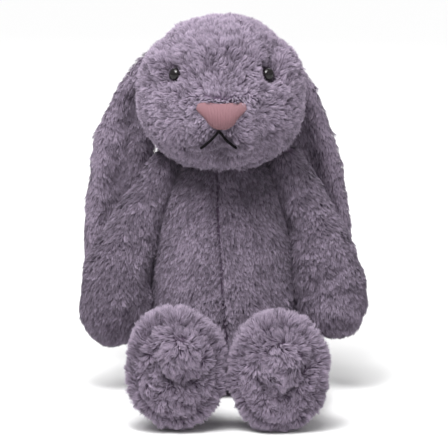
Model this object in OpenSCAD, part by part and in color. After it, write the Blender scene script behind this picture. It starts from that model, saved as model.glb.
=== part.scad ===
// A seated plush rabbit with lop ears: sewn pile-fabric panels over fibre stuffing,
// a pellet pouch in the seat, safety eyes with locking washers, and limbs that
// hinge at their sewn tops. Origin at the middle of the flat seat, +Z up, the
// face looks along -Y. Millimetres.

/* [Fabric] */
// Thickness of the pile fabric, backing and pile together
fabric_t = 6; // [5:0.5:6.5]
// Gap left at a sewn seam between two panels
seam_gap = 0.3; // [0.2:0.1:0.5]
// Gap between a panel and the stuffing behind it
fill_gap = 0.4; // [0.3:0.1:0.6]

/* [Torso] */
// Width of the seat across the hips
seat_w = 102; // [98:1:104]
// Depth of the seat from belly to back
seat_d = 86; // [83:1:88]
// Radius of the pellet pouch in the seat
pouch_r = 25; // [20:1:27]
// Diameter of the fluffy tail
tail_d = 34; // [28:1:38]

/* [Head] */
// Width of the head over the cheeks
head_w = 102; // [98:1:104]
// How far the muzzle stands out of the ball of the head
muzzle_out = 15; // [10:1:17]
// Diameter of the safety eyes
eye_d = 9; // [8:0.5:10]
// Width of the stitched nose
nose_w = 30; // [24:1:32]
// Thickness of the mouth thread
thread_d = 1.4; // [1:0.1:1.6]

/* [Limbs] */
// Share of full thickness of the arms
arm_fat = 1; // [0.9:0.01:1.02]
// Share of full thickness of the ears
ear_fat = 1; // [0.9:0.01:1.1]
// Share of full thickness of the feet, sole to instep
foot_fat = 1; // [0.9:0.01:1.03]

/* [Hidden] */

fur = [0.50, 0.44, 0.54];
fur_light = [0.66, 0.60, 0.69];
lining_c = [0.70, 0.57, 0.62];
white_fill = [0.92, 0.92, 0.90];
LEFT = -1;
RIGHT = 1;

// ---- joint centres ---------------------------------------------------------
neck_c = [0, 0, 145];
neck_r = 14;
head_c = [0, -6, 187];
function shoulder(s) = [s * 42.5, -2, 136];
function hip(s) = [s * 43.5, -49, 24];
function ankle(s) = [s < 0 ? -29 : 36, -96, 24];
function ear_root(s) = [s < 0 ? -44.5 : 42.5, s < 0 ? 27 : 28, s < 0 ? 200 : 197];

// ---- helpers ---------------------------------------------------------------
function unit(v) = v / norm(v);
function total(v, i = 0) = i == len(v) - 1 ? v[i] : v[i] + total(v, i + 1);
function middle(ring) = total(ring) / len(ring);
function tangent(p, i) = unit(p[min(i + 1, len(p) - 1)] - p[max(i - 1, 0)]);
function square_to(u, t) = unit(u - (u * t) * t);

// A closed solid through rings of points, closed at both ends by a fan
module loft(rings) {
    n = len(rings[0]);
    m = len(rings);
    pts = concat([for (r = rings) each r], [middle(rings[0]), middle(rings[m - 1])]);
    sides = [for (j = [0:m - 2], i = [0:n - 1]) each [
        [j * n + i, (j + 1) * n + i, (j + 1) * n + (i + 1) % n],
        [j * n + i, (j + 1) * n + (i + 1) % n, j * n + (i + 1) % n]]];
    caps = [for (i = [0:n - 1]) each [[m * n, i, (i + 1) % n],
        [m * n + 1, (m - 1) * n + (i + 1) % n, (m - 1) * n + i]]];
    polyhedron(pts, concat(caps, sides), convexity = 6);
}
// A panel of fabric: two grids of points, pile side and back, closed round the edge
module panel(outer, inner) {
    m = len(outer);
    n = len(outer[0]);
    e = 2 * n;
    pts = [for (j = [0:m - 1]) each concat(outer[j], [for (i = [n - 1:-1:0]) inner[j][i]])];
    sides = [for (j = [0:m - 2], i = [0:e - 1]) each [
        [j * e + i, (j + 1) * e + i, (j + 1) * e + (i + 1) % e],
        [j * e + i, (j + 1) * e + (i + 1) % e, j * e + (i + 1) % e]]];
    b = (m - 1) * e;
    ends = [for (i = [0:n - 2]) each [
        [i, i + 1, e - 2 - i], [i, e - 2 - i, e - 1 - i],
        [b + i + 1, b + i, b + e - 1 - i], [b + i + 1, b + e - 1 - i, b + e - 2 - i]]];
    polyhedron(pts, concat(ends, sides), convexity = 6);
}

// A bent tube through stations [x, y, z, half width, half depth]
function tube_ring(st, i, up, n, thin) =
    let (p = [for (q = st) [q[0], q[1], q[2]]], t = tangent(p, i),
         nrm = square_to(up, t), side = cross(nrm, t),
         a = st[i][3] - thin, b = st[i][4] - thin)
    [for (k = [0:n - 1]) let (w = 360 * k / n)
        p[i] + a * cos(w) * side + b * sin(w) * nrm];
function kept(st, thin, least) =
    [for (i = [0:len(st) - 1]) if (min(st[i][3], st[i][4]) - thin > least) i];
module tube(st, up, n, thin = 0, least = 1.2)
    loft([for (i = kept(st, thin, least)) tube_ring(st, i, up, n, thin)]);

// One of the two panels that a sewn tube is made of, from angle w0 to w1, the seams at its edges
module tube_panel(st, up, w0, w1, n, thick) {
    p = [for (q = st) [q[0], q[1], q[2]]];
    ids = kept(st, thick, 0.9);
    function at(i, w, thin) =
        let (t = tangent(p, i), nrm = square_to(up, t), side = cross(nrm, t))
        p[i] + (st[i][3] - thin) * cos(w) * side + (st[i][4] - thin) * sin(w) * nrm;
    function gap(i) = asin(seam_gap / 2 / max(3, min(st[i][3], st[i][4]) - thick)) * 0.9;
    panel([for (i = ids) [for (k = [0:n]) at(i, w0 + gap(i) + (w1 - w0 - 2 * gap(i)) * k / n, 0)]],
          [for (i = ids) [for (k = [0:n]) at(i, w0 + gap(i) + (w1 - w0 - 2 * gap(i)) * k / n, thick)]]);
}

// ---- torso -----------------------------------------------------------------
// height, half width, half depth
torso_st = [
    [3.2, 41, 37], [7, 44.5, 39.5], [13, 46.5, 41.3], [22, 47.3, 42.3],
    [36, 47.2, 42.2], [52, 46.2, 41.5], [68, 44.8, 40.5], [82, 43, 38.8], [95, 40.6, 36.6],
    [107, 37, 33.6], [117.6, 32.6, 30], [126.4, 28, 26.4], [133.6, 23.8, 23], [139.4, 19.8, 19.6]];
function torso_point(s, w, thin) =
    [(s[1] * seat_w / 102 - thin) * cos(w), (s[2] * seat_d / 86 - thin) * sin(w), s[0]];
module torso_quarter(w0) {
    g = 0.55 * seam_gap;
    n = 9;
    st = [for (s = torso_st) if (s[0] > 3) [max(s[0], 3.2 + seam_gap), s[1], s[2]]];
    function ring(s, thin) = let (dw = asin(g / (min(s[1], s[2]) - thin)))
        [for (k = [0:n]) torso_point(s, w0 + dw + (90 - 2 * dw) * k / n, thin)];
    panel([for (s = st) ring(s, 0)],
          [for (s = st) let (r = ring(s, fabric_t)) [for (q = r) [q[0], q[1], q[2]]]]);
}
module torso_seat_panel() intersection() {
    loft([for (s = [[-3, 35, 31], [0.001, 36.5, 32.5], [3.2, 41, 37], [6, 43, 39]])
        [for (k = [0:39]) torso_point(s, -9 * (k + 0.5), 0)]]);
    translate([-80, -80, 0]) cube([160, 160, 3.2]);
}
// The stuffing fills the shell round the pouch and ends in a dish for the neck
dish_r = neck_r + 0.8;
module torso_stuffing() {
    t = fabric_t + fill_gap;
    pr = pouch_r + 1.8;
    n = 36;
    function circle_ring(r, z) = [for (k = [0:n - 1]) let (w = -360 * k / n) [r * cos(w), r * sin(w) + 4, z]];
    function dish_ring(q) = [for (k = [0:n - 1]) let (w = -360 * k / n)
        [dish_r * sin(q) * cos(w), dish_r * sin(q) * sin(w), neck_c[2] - dish_r * cos(q)]];
    loft(concat(
        [circle_ring(pr * 0.5, 29.6), circle_ring(pr - 1.6, 29.6), circle_ring(pr, 27.6),
         circle_ring(pr, 5.4), circle_ring(pr + 0.6, 3.6 + seam_gap)],
        [for (s = concat([[4.4, 41.5, 37.5]], [for (s = torso_st) if (s[0] > 4) s]))
            [for (k = [0:n - 1]) torso_point(s, -360 * k / n, t)]],
        [for (q = [55, 42, 29, 16, 5]) dish_ring(q)]));
}
module pouch_shape(r, h, e) rotate_extrude($fn = 72) polygon([
    [0, 0], [r - 5, 0], [r - 2, 1], [r, 3.5], [r + e, h / 2], [r, h - 3.5],
    [r - 2, h - 1], [r - 5, h], [0, h]]);
module pellet_pouch() translate([0, 4, 6]) difference() {
    pouch_shape(pouch_r, 22, 1);
    translate([0, 0, 1]) pouch_shape(pouch_r - 1.2, 20, 0.8);
}
module pellet_fill() translate([0, 4, 7.2]) pouch_shape(pouch_r - 1.6, 19.6, 0.6);
// A pompon sewn on low at the back
module tail() translate([0, seat_d / 2 + 0.35 + tail_d / 2, 24]) sphere(d = tail_d, $fn = 48);
// A blank tag let into the seam at the back
module care_label() translate([-8, seat_d / 2 - 0.4, 50]) rotate([-6, 0, 0]) cube([16, 0.7, 12]);

// ---- neck ------------------------------------------------------------------
module neck_stuffing() difference() {
    translate(neck_c) sphere(r = neck_r, $fn = 48);
    translate(neck_c) rotate_extrude($fn = 72)
        translate([neck_r + 0.2, 0]) circle(r = 1.5, $fn = 20);
}
module neck_seam_thread() translate(neck_c) rotate_extrude($fn = 72)
    translate([neck_r + 0.2, 0]) circle(r = 0.55, $fn = 16);

// ---- head ------------------------------------------------------------------
function head_ball(d) =
    let (a = head_w / 2, b = 45, c = d[2] > 0 ? 45 : 43,
         p = d[2] > 0 ? 2.05 : 2.05 + 0.35 * min(1, -2 * d[2]),
         e = pow(pow(abs(d[0]) / a, p) + pow(abs(d[1]) / b, p)
                 + pow(abs(d[2]) / c, p), -1 / p),
         u = d[0] / 0.52, v = (d[2] + 0.22) / 0.42,
         front = d[1] < 0 ? min(1, -d[1] / 0.4) : 0)
    e + muzzle_out * front * exp(-u * u - v * v);
// Along the ray d, where the hollow for the neck begins
neck_off = neck_c - head_c;
function to_neck(d, r) = let (k = d * neck_off, h = k * k - neck_off * neck_off + r * r)
    h > 0 && k > 0 ? k - sqrt(h) : 1000;
function head_at(d, off, more = 0) = head_c
    + min(head_ball(d) + off, to_neck(d, dish_r + 1.2 + more + max(0, -3 - off))) * d;
// Latitude runs out to the ears, longitude from the back of the neck over the crown
// (90 is straight up, 180 is the nose) and under the chin
function head_dir(lat, lon) = [sin(lat), cos(lat) * cos(lon), cos(lat) * sin(lon)];
seam_lat = 28;
module head_patch(lat0, lat1, lon0, lon1, nu, nv) {
    g = 0.17 * seam_gap / 0.3;
    function grid(off) = [for (j = [0:nv]) [for (i = [0:nu])
        head_at(head_dir(lat0 + (lat1 - lat0) * j / nv, lon0 + (lon1 - lon0) * i / nu), off)]];
    panel(grid(0), grid(-fabric_t));
}
// Both skins end at a small hole on the ear axis, so that the panel is a ring
module head_cap(s, nu, nv) {
    lats = [for (j = [0:nv]) s * (seam_lat + 0.2 + (88 - seam_lat) * j / nv)];
    function ring(lat, off) = [for (i = [0:nu - 1]) head_at(head_dir(lat, s * 360 * i / nu), off)];
    loft(concat([for (j = [nv:-1:0]) ring(lats[j], -fabric_t)], [for (j = [0:nv]) ring(lats[j], 0)]));
}
function eye_dir(s) = unit([s * 28.5, -32, 16.5]);
function eye_axis(s) = unit([s * sin(44), -cos(44), 0.14]);
module at_eye(s) {
    n = eye_axis(s);
    translate(head_at(eye_dir(s), 0))
        rotate([0, acos(n[2]), atan2(n[1], n[0])]) children();
}
module head_gusset() head_patch(-seam_lat, seam_lat, -52, 205, 30, 8);
module head_chin_panel() head_patch(-seam_lat, seam_lat, 206, 307, 28, 16);
module head_side(s) difference() {
    head_cap(s, 36, 8);
    at_eye(s) translate([0, 0, -14]) cylinder(d = eye_d + 1.2, h = 30, $fn = 12);
}
module head_stuffing() difference() {
    loft([for (j = [0:26]) let (lat = -87 + 174 * j / 26)
        [for (i = [0:47]) head_at(head_dir(lat, 7.5 * i), -fabric_t - fill_gap - 0.2, 2.4)]]);
    for (s = [LEFT, RIGHT])
        at_eye(s) translate([0, 0, -12]) cylinder(r = 6.4, h = 16.4, $fn = 12);
}
module eye(s) at_eye(s) {
    // dome, flange and shank in one moulding
    translate([0, 0, -3]) rotate_extrude($fn = 48) polygon(concat(
        [[0, -8], [1.6, -8], [1.6, -0.2], [eye_d / 2 - 0.3, -0.1], [eye_d / 2, 0.3]],
        [for (k = [1:10]) let (w = 9 * k)
            [eye_d / 2 * cos(w), 0.3 + 3.6 * sin(w)]]));
}
module eye_washer(s) at_eye(s) translate([0, 0, -10.3]) difference() {
    cylinder(r = 5, h = 1.4, $fn = 40);
    translate([0, 0, -1]) cylinder(r = 1.7, h = 4, $fn = 32);
}
// A rounded triangle of satin stitch laid on the muzzle
function nose_edge(k, n) =
    let (w = 360 * k / n, r3 = 1 / (1 - 0.30 * sin(3 * w)))
    [0.43 * nose_w * r3 * cos(w), 6.5 * r3 * sin(w)];
function on_muzzle(x, z, off) = head_at(unit([x, -58, z]), off);
module nose() {
    n = 32;
    m = 4;
    function cover(off, j) = [for (k = [0:n - 1])
        let (e = nose_edge(k, n), f = max(0.04, j / m))
        on_muzzle(e[0] * f, e[1] * f - 2.2, off + (off > 0.3 ? 1.5 * (1 - pow(f, 4)) : 0))];
    loft(concat([for (j = [0:m]) cover(0.5, j)], [for (j = [m:-1:0]) cover(0.2, j)]));
}
// Two straight runs of thread from under the nose, down and out to each side
module thread_run(p, q) {
    n = 8;
    r = thread_d / 2;
    tube([for (i = [0:n]) let (f = i / n,
        c = on_muzzle(p[0] + (q[0] - p[0]) * f, p[1] + (q[1] - p[1]) * f, r + 0.3),
        e = i == 0 || i == n ? 0.7 : 1) [c[0], c[1], c[2], r * e, r * e]],
        [0, -1, 0], 8, 0, 0.2);
}

// ---- ears ------------------------------------------------------------------
// centre line from the sewn root to the tip, half width, half thickness
ear_left_st = [
    [-44.3, 26.4, 205, 2.6, 2.6], [-44.4, 26.6, 203.4, 4.4, 4.4], [-44.5, 27, 200, 5.6, 5.4],
    [-46.6, 30, 192, 7.8, 5.6], [-50.6, 33, 182, 11.4, 5.4], [-55.4, 35.4, 168, 15, 5.2],
    [-61.6, 36.8, 142, 18.6, 5], [-65.8, 37.8, 111, 20.6, 5], [-67, 38, 85, 21, 5],
    [-67.2, 37.4, 72, 19.6, 5], [-67.2, 36.6, 64, 15, 4.7], [-67, 36, 59.6, 9.5, 4],
    [-66.8, 35.7, 57.4, 3.2, 2.6]];
ear_right_st = [
    [42.3, 27.4, 202, 2.6, 2.6], [42.4, 27.6, 200.4, 4.2, 4.4], [42.5, 28, 197, 5.2, 5.2],
    [43.8, 31, 190, 6.6, 5.4], [46, 34, 181, 9, 5.4], [49, 36, 168, 11.6, 5.2],
    [54.8, 37.2, 142, 15, 5], [59.2, 37.8, 111, 17.6, 5], [61.6, 38, 85, 19.2, 5],
    [62.4, 37.4, 72, 18, 5], [62.8, 36.6, 64, 14, 4.7], [62.8, 36, 59.6, 9, 4],
    [62.7, 35.7, 57.4, 3.2, 2.6]];
function ear_st(s) = [for (q = s < 0 ? ear_left_st : ear_right_st)
    [q[0], q[1], q[2], q[3], q[4] * ear_fat]];
// The pile side faces forward and the lining faces back
module ear_half(s, w0) {
    st = ear_st(s);
    p = [for (q = st) [q[0], q[1], q[2]]];
    n = 12;
    loft([for (i = [0:len(st) - 1])
        let (t = tangent(p, i), nrm = square_to([0, 1, 0], t), side = cross(nrm, t),
             off = (w0 == 0 ? 1 : -1) * seam_gap / 2)
        [for (k = [0:n]) let (w = w0 + 180 * k / n)
            p[i] + st[i][3] * cos(w) * side + (st[i][4] * sin(w) + off) * nrm]]);
}

// ---- arms ------------------------------------------------------------------
arm_left_st = [
    [-41.8, -2, 144.8, 3, 3], [-42, -2, 143.2, 6, 6], [-42.2, -2, 140.4, 8.4, 8.4],
    [-42.5, -2, 136, 9.5, 9.5], [-44.2, -2.4, 126, 10.4, 11.4], [-47.6, -4, 115, 11.8, 13.2],
    [-54, -7, 102, 13.6, 15.2], [-59.8, -10, 88, 15.6, 16.8], [-64.2, -13, 74, 17.6, 18.2],
    [-66.8, -15, 61, 18.9, 18.8], [-68, -16, 49, 18.6, 18], [-68.4, -16.4, 39.6, 15.8, 14.8],
    [-68.4, -16.5, 33.4, 11, 10.6], [-68.3, -16.5, 30, 6.4, 6.2], [-68.3, -16.5, 28.6, 3, 3]];
arm_right_st = [
    [41.8, -2, 144.8, 3, 3], [42, -2, 143.2, 6, 6], [42.2, -2, 140.4, 8.4, 8.4],
    [42.5, -2, 136, 9.5, 9.5], [44.4, -2.4, 126, 10.4, 11.4], [48.2, -4, 115, 11.8, 13.2],
    [55, -7, 103, 13.8, 15.2], [60.8, -10, 90, 15.8, 16.8], [65.4, -13, 78, 17.8, 18.2],
    [68.4, -15, 66, 19.4, 18.8], [70.2, -16, 55, 19, 18], [71, -16.4, 46.6, 16, 14.8],
    [71.2, -16.5, 41, 11, 10.6], [71.2, -16.5, 37.8, 6.4, 6.2], [71.2, -16.5, 36.4, 3, 3]];
function arm_st(s) = [for (q = s < 0 ? arm_left_st : arm_right_st)
    [q[0], q[1], q[2], q[3] * arm_fat, q[4] * arm_fat]];
limb_t = fabric_t - 1;
module arm_panel(s, w0) tube_panel(arm_st(s), [0, 1, 0], w0, w0 + 180, 14, limb_t);
module arm_stuffing(s) tube(arm_st(s), [0, 1, 0], 24, limb_t + fill_gap);

// ---- legs and feet ---------------------------------------------------------
leg_r = 18.6;
ankle_r = 15.8;
function leg_st(s) =
    let (h = hip(s), k = ankle(s), d = unit(k - h))
    concat(
        [[each (h - 18 * d), 4, 4], [each (h - 15.4 * d), 10, 10], [each (h - 10 * d), 15.4, 15.4],
         [each h, leg_r, leg_r]],
        [for (f = [0.3, 0.6]) [each (h + (k - h) * f), leg_r - 2 * f, leg_r - 2 * f]],
        [[each (k - 9 * d), 15, 15], [each k, ankle_r - 0.6, ankle_r - 0.6],
         [each (k + 8.2 * d), 13, 13], [each (k + 12.6 * d), 9, 9], [each (k + 14.8 * d), 4.4, 4.4]]);
module leg_panel(s, w0) tube_panel(leg_st(s), [0, 0, 1], w0, w0 + 180, 14, limb_t);
module leg_stuffing(s) tube(leg_st(s), [0, 0, 1], 24, limb_t + fill_gap);

function foot_mid(s) = s < 0 ? -30 : 32.4;
sole_y = -131;
// distance behind the sole, half width, half height
foot_st = [
    [0, 17.6, 23], [1, 23, 28.6], [3.4, 26.8, 32.6], [6, 28.4, 34.4], [10, 29.3, 35.4],
    [16, 29.3, 35.6], [22, 28.2, 34.6], [26.6, 25.2, 31.8], [29.6, 21.4, 28]];
foot_z = 35.7;
function foot_ring(s, q, n, thin) = [for (k = [0:n - 1]) let (w = -360 * k / n)
    [foot_mid(s) + (q[1] - thin) * cos(w), sole_y + q[0] * foot_fat, foot_z + (q[2] - thin) * sin(w)]];
// The hollow that takes the ball of the ankle, as rings round the ankle
function hollow_ring(s, q, n, more) = [for (k = [0:n - 1]) let (w = -360 * k / n, r = ankle_r + 1 + more)
    [ankle(s)[0] + r * sin(q) * cos(w), ankle(s)[1] - r * cos(q), ankle(s)[2] + r * sin(q) * sin(w)]];
// The upper wraps from the seam at the edge of the sole over the instep to the ankle
module foot_upper(s) {
    n = 36;
    seam = 4.6 + seam_gap;
    loft(concat(
        [foot_ring(s, [13.4, 26.6, 32.6], n, fabric_t + 1), foot_ring(s, [seam, 27.7, 33.7], n, fabric_t),
         foot_ring(s, [seam, 27.7, 33.7], n, 0)],
        [for (q = foot_st) if (q[0] > 5.5) foot_ring(s, q, n, 0)],
        [for (q = [78, 66, 54, 41, 28, 15, 5]) hollow_ring(s, q, n, 0)]));
}
module foot_sole(s) loft([for (q = [[0, 17.6, 23], [1, 23, 28.6], [3.4, 26.8, 32.6], [4.6, 27.7, 33.7]])
    foot_ring(s, q, 36, 0)]);
module foot_stuffing(s) loft([
    foot_ring(s, [4.6 + 2 * seam_gap, 27.7, 33.7], 32, fabric_t + fill_gap),
    foot_ring(s, [13, 26.6, 32.6], 32, fabric_t + 1 + fill_gap)]);

color(fur) torso_quarter(180);  // torso_panel_front_left
color(fur) torso_quarter(270);  // torso_panel_front_right
color(fur) torso_quarter(90);  // torso_panel_back_left
color(fur) torso_quarter(0);  // torso_panel_back_right
color(fur) torso_seat_panel();
color(white_fill) torso_stuffing();
color("ivory") pellet_pouch();
color("gainsboro") pellet_fill();
color(fur_light) tail();
color("white") care_label();
color(white_fill) neck_stuffing();
color(fur) neck_seam_thread();
color(fur) head_gusset();
color(fur) head_side(LEFT);  // head_side_left
color(fur) head_side(RIGHT);  // head_side_right
color(fur) head_chin_panel();
color(white_fill) head_stuffing();
color([0.75, 0.53, 0.56]) nose();
color([0.1, 0.09, 0.11]) {  // mouth_thread
    thread_run([-1.8, -12.6], [-12.8, -24.6]);
    thread_run([0.2, -12.6], [9, -25]);
}
color([0.06, 0.06, 0.07]) eye(LEFT);  // eye_left
color([0.06, 0.06, 0.07]) eye(RIGHT);  // eye_right
color("white") eye_washer(LEFT);  // eye_washer_left
color("white") eye_washer(RIGHT);  // eye_washer_right
color(fur) ear_half(LEFT, 180);  // ear_left_outer
color(lining_c) ear_half(LEFT, 0);  // ear_left_lining
color(fur) ear_half(RIGHT, 180);  // ear_right_outer
color(lining_c) ear_half(RIGHT, 0);  // ear_right_lining
color(fur) arm_panel(LEFT, 180);  // arm_left_front_panel
color(fur) arm_panel(LEFT, 0);  // arm_left_back_panel
color(white_fill) arm_stuffing(LEFT);  // arm_left_stuffing
color(fur) arm_panel(RIGHT, 180);  // arm_right_front_panel
color(fur) arm_panel(RIGHT, 0);  // arm_right_back_panel
color(white_fill) arm_stuffing(RIGHT);  // arm_right_stuffing
color(fur) leg_panel(LEFT, 0);  // leg_left_upper_panel
color(fur) leg_panel(LEFT, 180);  // leg_left_under_panel
color(white_fill) leg_stuffing(LEFT);  // leg_left_stuffing
color(fur) leg_panel(RIGHT, 0);  // leg_right_upper_panel
color(fur) leg_panel(RIGHT, 180);  // leg_right_under_panel
color(white_fill) leg_stuffing(RIGHT);  // leg_right_stuffing
color(fur) foot_upper(LEFT);  // foot_left_upper
color(fur) foot_sole(LEFT);  // foot_left_sole
color(white_fill) foot_stuffing(LEFT);  // foot_left_stuffing
color(fur) foot_upper(RIGHT);  // foot_right_upper
color(fur) foot_sole(RIGHT);  // foot_right_sole
color(white_fill) foot_stuffing(RIGHT);  // foot_right_stuffing
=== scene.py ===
import bpy, math
import numpy as np
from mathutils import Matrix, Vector, kdtree


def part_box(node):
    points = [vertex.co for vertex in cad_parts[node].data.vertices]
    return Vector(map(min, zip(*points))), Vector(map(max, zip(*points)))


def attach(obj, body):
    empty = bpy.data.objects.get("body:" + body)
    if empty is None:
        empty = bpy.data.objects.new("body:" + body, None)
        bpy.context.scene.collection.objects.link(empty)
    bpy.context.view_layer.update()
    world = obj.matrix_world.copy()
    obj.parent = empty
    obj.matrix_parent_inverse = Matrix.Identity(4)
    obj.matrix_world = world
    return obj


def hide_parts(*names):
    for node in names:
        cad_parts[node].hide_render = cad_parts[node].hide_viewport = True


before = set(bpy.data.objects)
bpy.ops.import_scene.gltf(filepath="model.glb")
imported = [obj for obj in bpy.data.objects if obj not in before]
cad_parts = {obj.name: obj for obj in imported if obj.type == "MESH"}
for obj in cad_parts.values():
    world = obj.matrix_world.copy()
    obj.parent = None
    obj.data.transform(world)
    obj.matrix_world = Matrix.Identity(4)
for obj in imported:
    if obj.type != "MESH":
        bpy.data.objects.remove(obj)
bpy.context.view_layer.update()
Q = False
MM = 0.001
LEFT, RIGHT = -1, 1

# ---------------------------------------------------------------- small helpers
def unit(v):
    v = np.asarray(v, float)
    return v / np.maximum(np.linalg.norm(v, axis=-1, keepdims=True), 1e-9)

def smooth(x, a, b):
    t = np.clip((x - a) / (b - a), 0, 1)
    return t * t * (3 - 2 * t)

def waves(P, scale, seed, octaves=3):
    """Cheap smooth noise: sums of seeded plane waves, about -1 to 1. P in mm."""
    g = np.random.default_rng(seed)
    out = np.zeros(len(P))
    total = 0
    for o in range(octaves):
        s = scale / (1.9 ** o)
        amp = 0.6 ** o
        for k in range(5):
            d = unit(g.normal(size=3)) * (2 * math.pi / s) * g.uniform(0.7, 1.3)
            out += amp * np.sin(P @ d + g.uniform(0, 6.283))
        total += amp * 2.2
    return out / total

def mesh_from(name, V, quads=None, tris=None, uv=None, smooth_on=True):
    """V in mm. quads and tris are index arrays. uv is per vertex."""
    me = bpy.data.meshes.new(name)
    V = np.asarray(V, np.float32) * MM
    me.vertices.add(len(V))
    me.vertices.foreach_set("co", V.ravel())
    loops, starts, at = [], [], 0
    for F, k in ((quads, 4), (tris, 3)):
        if F is not None and len(F):
            F = np.asarray(F, np.int32)
            loops.append(F.ravel())
            starts.append(at + np.arange(len(F), dtype=np.int32) * k)
            at += len(F) * k
    L = np.concatenate(loops)
    S = np.concatenate(starts)
    me.loops.add(len(L))
    me.loops.foreach_set("vertex_index", L)
    me.polygons.add(len(S))
    me.polygons.foreach_set("loop_start", S)
    me.update(calc_edges=True)
    me.validate()
    if uv is not None:
        layer = me.uv_layers.new(name="OFBake")
        layer.data.foreach_set("uv", np.asarray(uv, np.float32)[L].ravel())
    me.polygons.foreach_set("use_smooth", np.full(len(me.polygons), smooth_on))
    me.update()
    o = bpy.data.objects.new(name, me)
    bpy.context.scene.collection.objects.link(o)
    return o

def loft(rings):
    """Closed tube through rings of equal length: vertices and quads, ends closed by fans."""
    R = np.asarray(rings, float)
    m, n = R.shape[:2]
    V = R.reshape(-1, 3)
    i = np.arange(n)
    quads = []
    for j in range(m - 1):
        a, b = j * n + i, j * n + (i + 1) % n
        quads.append(np.stack([a, b, b + n, a + n], 1))
    V = np.vstack([V, R[0].mean(0), R[-1].mean(0)])
    c0, c1 = m * n, m * n + 1
    tris = np.vstack([np.stack([np.full(n, c0), (i + 1) % n, i], 1),
                      np.stack([np.full(n, c1), (m - 1) * n + i, (m - 1) * n + (i + 1) % n], 1)])
    return V, np.vstack(quads), tris

def spline(st, steps):
    """Catmull-Rom through the station table."""
    st = np.asarray(st, float)
    P = np.vstack([2 * st[0] - st[1], st, 2 * st[-1] - st[-2]])
    out = []
    for k in range(1, len(P) - 2):
        for t in np.arange(steps) / steps:
            a, b, c, d = P[k - 1], P[k], P[k + 1], P[k + 2]
            out.append(0.5 * (2 * b + (c - a) * t + (2 * a - 5 * b + 4 * c - d) * t * t + (3 * b - a - 3 * c + d) * t ** 3))
    out.append(st[-1])
    return np.array(out)

def tube_rings(st, up, n=40, steps=3, inset=0.0):
    st = spline(st, steps)
    p = st[:, :3]
    t = unit(np.gradient(p, axis=0))
    up = np.asarray(up, float)
    nrm = unit(up - (t @ up)[:, None] * t)
    side = np.cross(nrm, t)
    w = 2 * math.pi * np.arange(n) / n
    a = np.maximum(st[:, 3] - inset, 0.5)[:, None, None]
    b = np.maximum(st[:, 4] - inset, 0.5)[:, None, None]
    return p[:, None] + a * np.cos(w)[None, :, None] * side[:, None] + b * np.sin(w)[None, :, None] * nrm[:, None]

def coords(me):
    co = np.zeros(len(me.vertices) * 3, np.float32)
    me.vertices.foreach_get("co", co)
    return co.reshape(-1, 3).astype(float) / MM

def set_coords(me, V):
    me.vertices.foreach_set("co", (np.asarray(V, np.float32) * MM).ravel())
    me.update()

def normals(me):
    n = np.zeros(len(me.vertices) * 3, np.float32)
    me.vertices.foreach_get("normal", n)
    return n.reshape(-1, 3).astype(float)

def triangles(me):
    me.calc_loop_triangles()
    t = np.zeros(len(me.loop_triangles) * 3, np.int32)
    me.loop_triangles.foreach_get("vertices", t)
    return t.reshape(-1, 3)

def bake_modifiers(o):
    deps = bpy.context.evaluated_depsgraph_get()
    deps.update()
    me = bpy.data.meshes.new_from_object(o.evaluated_get(deps))
    o.modifiers.clear()
    old = o.data
    o.data = me
    bpy.data.meshes.remove(old)

# ---------------------------------------------------------------- materials
def material(name, colour, rough=0.8, sheen=0.0, tint=(1, 1, 1), spec=0.3, coat=0.0):
    m = bpy.data.materials.new(name)
    m.use_nodes = True
    b = m.node_tree.nodes["Principled BSDF"]
    b.inputs["Base Color"].default_value = (*colour, 1)
    b.inputs["Roughness"].default_value = rough
    b.inputs["Specular IOR Level"].default_value = spec
    b.inputs["Sheen Weight"].default_value = sheen
    b.inputs["Sheen Tint"].default_value = (*tint, 1)
    b.inputs["Coat Weight"].default_value = coat
    return m

def fur_material(name, root, mid, tip, grey):
    """Colour runs from a dark root, painted shade deep in the pile, to a lighter tip, partly painted light, along each
    tuft (v), and varies from tuft to tuft, with painted light and shade by place mixed in (u).
    """
    m = material(name, mid, 0.62, 0.35, (0.86, 0.80, 0.90), 0.25)
    nt = m.node_tree
    b = nt.nodes["Principled BSDF"]
    uv = nt.nodes.new("ShaderNodeUVMap"); uv.uv_map = "OFBake"
    sep = nt.nodes.new("ShaderNodeSeparateXYZ")
    nt.links.new(uv.outputs["UV"], sep.inputs[0])
    ramp = nt.nodes.new("ShaderNodeValToRGB")
    e = ramp.color_ramp.elements
    # the dark root colour is painted shade deep in the pile; the light tip colour is partly painted light
    e[0].position, e[0].color = 0.0, (*root, 1)
    e[1].position, e[1].color = 1.0, (*tip, 1)
    k = e.new(0.42); k.color = (*mid, 1)
    nt.links.new(sep.outputs["Y"], ramp.inputs["Fac"])
    mix = nt.nodes.new("ShaderNodeMix"); mix.data_type = "RGBA"; mix.blend_type = "MULTIPLY"
    mix.inputs["Factor"].default_value = 1.0
    # u becomes a multiplier: tone that differs at random, plus painted light and shade by place
    var = nt.nodes.new("ShaderNodeValToRGB")
    f = var.color_ramp.elements
    f[0].position, f[0].color = 0.0, (0.44, 0.42, 0.45, 1)
    f[1].position, f[1].color = 1.0, (*grey, 1)
    h = f.new(0.5); h.color = (0.92, 0.90, 0.93, 1)
    nt.links.new(sep.outputs["X"], var.inputs["Fac"])
    nt.links.new(ramp.outputs["Color"], mix.inputs[6])
    nt.links.new(var.outputs["Color"], mix.inputs[7])
    nt.links.new(mix.outputs[2], b.inputs["Base Color"])
    return m

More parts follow.
